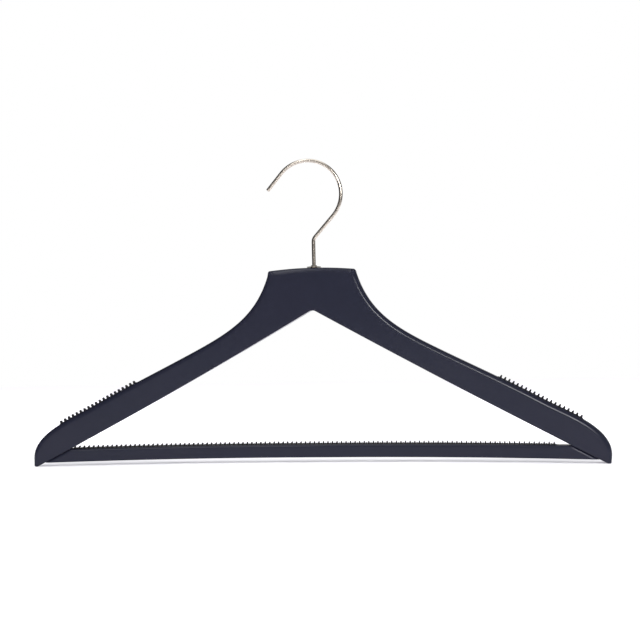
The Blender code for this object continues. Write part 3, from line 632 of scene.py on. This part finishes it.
class Material:
    """Node material with one Principled shader and short ways to add to it."""

    def __init__(self, name, color, roughness, metallic=0.0, specular=0.5):
        self.material = bpy.data.materials.new(name)
        self.material.use_nodes = True
        self.tree = self.material.node_tree
        self.shader = self.tree.nodes["Principled BSDF"]
        self.shader.inputs["Base Color"].default_value = (*color, 1.0)
        self.shader.inputs["Roughness"].default_value = roughness
        self.shader.inputs["Metallic"].default_value = metallic
        self.shader.inputs["Specular IOR Level"].default_value = specular

    def node(self, kind, **inputs):
        node = self.tree.nodes.new(kind)
        for name, value in inputs.items():
            node.inputs[name.replace("_", " ")].default_value = value
        return node

    def link(self, output, socket):
        self.tree.links.new(output, socket)

    def coordinates(self, stretch=(1, 1, 1)):
        """Object coordinates in metres, stretched."""
        source = self.tree.nodes.new("ShaderNodeTexCoord")
        stretched = self.node("ShaderNodeMapping", Scale=stretch)
        self.link(source.outputs["Object"], stretched.inputs["Vector"])
        return stretched.outputs["Vector"]

    def noise(self, vector, scale, detail=2.0, roughness=0.5):
        noise = self.node("ShaderNodeTexNoise", Scale=scale, Detail=detail, Roughness=roughness)
        self.link(vector, noise.inputs["Vector"])
        return noise.outputs["Fac"]

    def ranged(self, value, low, high, low_in=0.3, high_in=0.7):
        """Value between two input marks mapped to an output range."""
        ranged = self.node("ShaderNodeMapRange")
        for name, number in zip(("From Min", "From Max", "To Min", "To Max"), (low_in, high_in, low, high)):
            ranged.inputs[name].default_value = number
        self.link(value, ranged.inputs["Value"])
        return ranged.outputs["Result"]

    def mixed(self, factor, first, second):
        """Colour mixed from two colours or colour sockets."""
        mix = self.tree.nodes.new("ShaderNodeMix")
        mix.data_type = "RGBA"
        self.link(factor, mix.inputs["Factor"])
        for index, value in ((6, first), (7, second)):
            if isinstance(value, tuple):
                mix.inputs[index].default_value = (*value, 1.0)
            else:
                self.link(value, mix.inputs[index])
        return mix.outputs[2]

    def bump(self, height, depth, below=None):
        """Bump of a depth in metres, laid over an earlier bump."""
        bump = self.node("ShaderNodeBump", Strength=1.0, Distance=depth)
        self.link(height, bump.inputs["Height"])
        if below is not None:
            self.link(below, bump.inputs["Normal"])
        return bump.outputs["Normal"]

    def set(self, socket, output):
        self.link(output, self.shader.inputs[socket])


def painted_wood(name):
    """Matt dark paint over wood whose grain shows faintly along the piece."""
    paint = Material(name, PAINT_COLOR, 0.2, specular=0.19)
    plain = paint.coordinates()
    along = paint.coordinates((6, 60, 60))
    cloud = paint.noise(plain, 14, 3)
    grain = paint.noise(along, 14, 4, 0.6)
    peel = paint.noise(plain, 1700, 2)
    tone = paint.mixed(paint.ranged(cloud, 0, 1), *PAINT_TONES)
    tone = paint.mixed(paint.ranged(grain, 0, 0.2), tone, PAINT_GRAIN)
    paint.set("Base Color", tone)
    paint.set("Roughness", paint.ranged(peel, 0.18, 0.22))
    normal = paint.bump(peel, 0.002 * MM)
    paint.set("Normal", paint.bump(grain, 0.006 * MM, normal))
    return paint.material


def rubber(name):
    rubber_mix = Material(name, RUBBER_COLOR, 0.62, specular=0.3)
    plain = rubber_mix.coordinates()
    speck = rubber_mix.noise(plain, 2500, 2)
    dust = rubber_mix.noise(plain, 90, 3)
    rubber_mix.set("Base Color", rubber_mix.mixed(rubber_mix.ranged(dust, 0, 1), *RUBBER_TONES))
    rubber_mix.set("Roughness", rubber_mix.ranged(speck, 0.55, 0.75))
    rubber_mix.set("Normal", rubber_mix.bump(speck, 0.02 * MM))
    return rubber_mix.material


def satin_metal(name, tones, roughness):
    """Plated metal with faint clouding and fine marks."""
    metal = Material(name, tones[0], roughness, metallic=1.0)
    plain = metal.coordinates()
    cloud = metal.noise(plain, 60, 2)
    marks = metal.noise(plain, 300, 2)
    metal.set("Base Color", metal.mixed(metal.ranged(cloud, 0, 1), *tones))
    metal.set("Roughness", metal.ranged(marks, roughness - 0.02, roughness + 0.03))
    return metal.material


def bare_wood(name):
    wood = Material(name, WOOD_COLOR, 0.7, specular=0.3)
    along = wood.coordinates((60, 60, 8))
    grain = wood.noise(along, 20, 4, 0.6)
    wood.set("Base Color", wood.mixed(wood.ranged(grain, 0, 1), *WOOD_TONES))
    wood.set("Normal", wood.bump(grain, 0.05 * MM))
    return wood.material


# Pieces

def lathe_cutter(name, profile, axis):
    """Cutter turned about an upright axis at a point of the row frame."""
    return place(name, finish_mesh(name, turned(profile, LATHE_STEPS), axis))


def hole_axis(side, from_tip):
    return NECK_MIDDLE + Vector((*swept(side * (HALF_SPAN - from_tip), 0), 0))


def fixing_cutters(side):
    """Cutters of the dowel's and the screw's holes at one end of the bar."""
    bottom = BAR_BOTTOM + DOWEL_FLOOR - CLEARANCE
    top = BAR_BOTTOM + DOWEL_FLOOR + DOWEL_LENGTH + CLEARANCE
    radius = DOWEL_RADIUS + CLEARANCE
    dowel = lathe_cutter("dowel_hole", [(0, top), (radius, top), (radius, bottom), (0, bottom)],
                         hole_axis(side, DOWEL_FROM_TIP))
    seat = BAR_BOTTOM + SCREW_RECESS
    neck = seat + SCREW_HEAD_HEIGHT + CLEARANCE
    shank = SCREW_RADIUS + CLEARANCE
    head = SCREW_HEAD_RADIUS + CLEARANCE
    below = BAR_BOTTOM - OVERRUN
    top = seat + SCREW_LENGTH + CLEARANCE
    screw = lathe_cutter("screw_hole", [(0, top), (shank, top), (shank, neck), (head, seat + CLEARANCE),
                                        (head, below), (0, below)],
                         hole_axis(side, SCREW_FROM_TIP))
    return [dowel, screw]


def groove_cutter(outline):
    shape = slab(outline, STRIP_WIDTH + 2 * GROOVE_GAP)
    bend(shape, CUTTER_SHIFT_SHARE)
    return place("groove_cutter", finish_mesh("groove_cutter", shape))


def make_wood(name, shape, paint, cutters):
    """Painted piece from a straight slab, laid along the sweep and cut by the cutters."""
    bend(shape)
    wood = place(name, finish_mesh(name, shape), paint)
    cut(wood, cutters)
    weigh_normals(wood)
    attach(wood, "hanger_body")
    return wood


def main():
    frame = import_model()

    black = rubber("grip_rubber")
    nickel = satin_metal("satin_nickel", NICKEL_TONES, NICKEL_ROUGHNESS)
    steel = satin_metal("zinc_steel", STEEL_TONES, STEEL_ROUGHNESS)
    wood = bare_wood("dowel_wood")

    shoulder = Edge(shoulder_line(60, 90))
    start = shoulder.distance_at_x(HALF_SPAN - SHOULDER_STRIP_FROM_TIP)
    shoulder_groove = groove_outline(shoulder, start, SHOULDER_STRIP_LENGTH)
    shoulder_strip = strip_outline(shoulder, start, SHOULDER_STRIP_LENGTH, SHOULDER_TEETH,
                                   SHOULDER_END_MARGIN, SHOULDER_TOOTH)
    reach = underside_reach(BAR_TOP)
    bar_top = Edge([(-reach, BAR_TOP), (reach, BAR_TOP)])
    length = 2 * reach - BAR_STRIP_LEFT_INSET - BAR_STRIP_RIGHT_INSET
    bar_strip = strip_outline(bar_top, BAR_STRIP_LEFT_INSET, length, BAR_TEETH, BAR_END_MARGIN, BAR_TOOTH,
                              BAR_BUMP)

    holes = fixing_cutters(-1) + fixing_cutters(1)
    bore = lathe_cutter("bore", [(0, OVERRUN), (BORE_RADIUS, OVERRUN), (BORE_RADIUS, -BORE_DEPTH),
                                 (0, -BORE_DEPTH)], SWIVEL)
    grooves = [groove_cutter(mirrored(shoulder_groove)), groove_cutter(shoulder_groove)]
    bar_groove = groove_cutter(groove_outline(bar_top, BAR_STRIP_LEFT_INSET, length))
    arms = make_wood("painted_arms", rounded_slab(board_outline(), BOARD), painted_wood("paint_arms"),
                     [bore] + grooves + holes)
    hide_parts("left_arm", "right_arm")
    bar_shape = slab(bar_outline(), BAR_DEPTH)
    level = BAR_BOTTOM + BAR_HEIGHT / 4
    round_edges(bar_shape, BAR_EDGE_RADIUS, LEAST_EDGE_ANGLE, BAR_EDGE_SEGMENTS, lowest=level)
    round_edges(bar_shape, BAR_LOWER_EDGE_RADIUS, LEAST_EDGE_ANGLE, BAR_LOWER_EDGE_SEGMENTS, highest=level)
    bar = make_wood("painted_bar", bar_shape, painted_wood("paint_bar"), [bar_groove] + holes)
    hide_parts("trouser_bar")
    for cutter in holes + grooves + [bore, bar_groove]:
        bpy.data.objects.remove(cutter)

    for node, outline in (("left_shoulder_strip", mirrored(shoulder_strip)),
                          ("right_shoulder_strip", shoulder_strip), ("bar_grip_strip", bar_strip)):
        strip = make_strip(node + "_rubber", outline, black)
        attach(strip, "hanger_body")
        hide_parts(node)

    hook = make_hook(nickel)
    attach(hook, "hook")
    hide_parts("hook")

    for node, material in (("neck_washer", nickel), ("hook_bushing", nickel),
                           ("hook_thrust_washer", steel), ("left_bar_dowel", wood),
                           ("right_bar_dowel", wood), ("left_bar_screw", steel),
                           ("right_bar_screw", steel)):
        frame["nodes"][node].material_slots[0].material = material

    make_stage()
    make_camera()


# Stage

def make_lamp(name, azimuth, elevation, distance, size, radiance, target=LAMP_TARGET):
    """Softbox facing the target."""
    lamp = bpy.data.lights.new(name, "AREA")
    lamp.shape = "RECTANGLE"
    lamp.size, lamp.size_y = size
    lamp.energy = radiance * pi * size[0] * size[1]
    thing = bpy.data.objects.new(name, lamp)
    bpy.context.scene.collection.objects.link(thing)
    away = Vector((sin(azimuth) * cos(elevation), -cos(azimuth) * cos(elevation), sin(elevation)))
    thing.location = Vector(target) + away * distance
    thing.rotation_euler = away.to_track_quat("Z", "Y").to_euler()
    return thing


class Nodes:
    """Short ways to build a node tree of numbers."""

    def __init__(self, tree):
        self.tree = tree
        self.path = tree.nodes.new("ShaderNodeLightPath")

    def math(self, operation, first, second):
        node = self.tree.nodes.new("ShaderNodeMath")
        node.operation = operation
        for socket, value in zip(node.inputs, (first, second)):
            self.put(value, socket)
        return node.outputs[0]

    def put(self, value, socket):
        if isinstance(value, (int, float)):
            socket.default_value = value
        else:
            self.tree.links.new(value, socket)

    def eased(self, value, start, end, low, high):
        """Value mapped from one range to another with soft ends."""
        node = self.tree.nodes.new("ShaderNodeMapRange")
        node.interpolation_type = "SMOOTHSTEP"
        for name, item in (("Value", value), ("From Min", start), ("From Max", end), ("To Min", low),
                           ("To Max", high)):
            self.put(item, node.inputs[name])
        return node.outputs["Result"]

    def mixed(self, factor, first, second):
        node = self.tree.nodes.new("ShaderNodeMix")
        for name, value in (("Factor", factor), ("A", first), ("B", second)):
            self.put(value, node.inputs[name])
        return node.outputs["Result"]

    def seen(self):
        """1 for the rays that see the background itself: from the camera and through glass."""
        outputs = self.path.outputs
        return self.math("MAXIMUM", outputs["Is Camera Ray"], outputs["Is Transmission Ray"])


def make_world():
    """White for the camera. The object sees a soft room in front, a pale ceiling, a dim right side, a dark
    left one and a white wall behind."""
    world = bpy.data.worlds.new("studio")
    bpy.context.scene.world = world
    world.use_nodes = True
    background = world.node_tree.nodes["Background"]
    background.inputs["Color"].default_value = (1, 1, 1, 1)
    nodes = Nodes(world.node_tree)
    direction = world.node_tree.nodes.new("ShaderNodeTexCoord")
    split = world.node_tree.nodes.new("ShaderNodeSeparateXYZ")
    world.node_tree.links.new(direction.outputs["Generated"], split.inputs["Vector"])
    behind = split.outputs["Y"]
    lit = nodes.eased(behind, -LIGHT_INNER, -LIGHT_OUTER, FRONT_DIFFUSE, ROOM_DIFFUSE)
    room = nodes.eased(behind, -FRONT_INNER, -FRONT_OUTER, FRONT_GLOSSY, ROOM_GLOSSY)
    right = nodes.eased(split.outputs["X"], RIGHT_START, RIGHT_END, 0, RIGHT_GLOSSY)
    aside = nodes.math("ABSOLUTE", split.outputs["X"], 0)
    above = nodes.eased(split.outputs["Z"], CEILING_LOW, CEILING_HIGH, 0, CEILING_GLOSSY)
    ceiling = nodes.math("MULTIPLY", above, nodes.eased(aside, CEILING_INNER, CEILING_OUTER, 1, 0))
    wall = nodes.eased(behind, WALL_OUTER, WALL_INNER, 0, 1)
    diffuse = nodes.math("MAXIMUM", lit, wall)
    sides = nodes.math("MAXIMUM", right, ceiling)
    glossy = nodes.math("MAXIMUM", nodes.math("MAXIMUM", room, sides), wall)
    level = nodes.mixed(nodes.path.outputs["Is Glossy Ray"], diffuse, glossy)
    level = nodes.mixed(nodes.seen(), level, 1)
    world.node_tree.links.new(level, background.inputs["Strength"])


def make_floor():
    """White floor under the tips' feet. It dips to the back, and is plain white away from the object."""
    shape = bmesh.new()
    bmesh.ops.create_grid(shape, x_segments=1, y_segments=1, size=FLOOR_REACH)
    mesh = bpy.data.meshes.new("floor")
    shape.to_mesh(mesh)
    shape.free()
    floor = bpy.data.objects.new("floor", mesh)
    bpy.context.scene.collection.objects.link(floor)
    floor.location = NECK_MIDDLE + Vector((0, -PLAN_DEPTH, -TIP_DROP))
    floor.rotation_euler.x = -FLOOR_DIP
    material = bpy.data.materials.new("floor_white")
    material.use_nodes = True
    tree = material.node_tree
    shader = tree.nodes["Principled BSDF"]
    shader.inputs["Base Color"].default_value = FLOOR_COLOR
    shader.inputs["Roughness"].default_value = 1
    shader.inputs["Specular IOR Level"].default_value = 0
    shader.inputs["Emission Color"].default_value = FLOOR_GLOW_COLOR
    nodes = Nodes(tree)
    place_node = tree.nodes.new("ShaderNodeTexCoord")
    stretched = tree.nodes.new("ShaderNodeVectorMath")
    stretched.operation = "MULTIPLY"
    stretched.inputs[1].default_value = FLOOR_GLOW_STRETCH
    tree.links.new(place_node.outputs["Object"], stretched.inputs[0])
    distance = tree.nodes.new("ShaderNodeVectorMath")
    distance.operation = "LENGTH"
    tree.links.new(stretched.outputs["Vector"], distance.inputs[0])
    glow = nodes.eased(distance.outputs["Value"], FLOOR_GLOW_START, FLOOR_GLOW_END, FLOOR_GLOW, 1)
    split = tree.nodes.new("ShaderNodeSeparateXYZ")
    tree.links.new(place_node.outputs["Object"], split.inputs["Vector"])
    behind = nodes.eased(split.outputs["Y"], FLOOR_BEHIND_START, FLOOR_BEHIND_END, 0, 1)
    near = nodes.eased(distance.outputs["Value"], FLOOR_NEAR, FLOOR_FAR, 1, 0)
    shown = nodes.math("MAXIMUM", behind, near)
    reflected = nodes.math("MULTIPLY", nodes.path.outputs["Is Glossy Ray"], shown)
    seen = nodes.math("MAXIMUM", nodes.seen(), reflected)
    tree.links.new(nodes.math("MULTIPLY", seen, glow), shader.inputs["Emission Strength"])
    mesh.materials.append(material)
    return floor


def make_stage():
    bpy.context.scene.view_settings.view_transform = "Standard"
    make_world()
    floor = make_floor()
    make_lamp("key_softbox", *KEY_SOFTBOX)
    make_lamp("overhead_strip", *OVERHEAD_STRIP)
    above = make_lamp("floor_light", *FLOOR_LIGHT, floor.location)
    receivers = bpy.data.collections.new("floor_light_receivers")
    receivers.objects.link(floor)
    above.light_linking.receiver_collection = receivers


def make_camera():
    lens = bpy.data.cameras.new("camera")
    lens.sensor_width = SENSOR_MM
    lens.lens = SENSOR_MM * FOCAL_PIXELS / IMAGE_SIZE
    lens.clip_start = NEAREST_SEEN
    camera = bpy.data.objects.new("camera", lens)
    bpy.context.scene.collection.objects.link(camera)
    turn = Matrix.Rotation(CAMERA_PITCH, 3, "X") @ Matrix.Rotation(-CAMERA_ROLL, 3, "Y")
    turn = turn @ Matrix.Rotation(-CAMERA_YAW, 3, "Z")
    back = turn.transposed()
    notch = NECK_MIDDLE + Vector((0, -BOARD / 2, -NECK_HEIGHT))
    station = notch + back @ Vector((CAMERA_ASIDE, -CAMERA_DISTANCE, -CAMERA_BELOW))
    facing = back @ Matrix.Rotation(pi / 2, 3, "X")
    camera.matrix_world = Matrix.Translation(station) @ facing.to_4x4()
    bpy.context.scene.camera = camera


main()
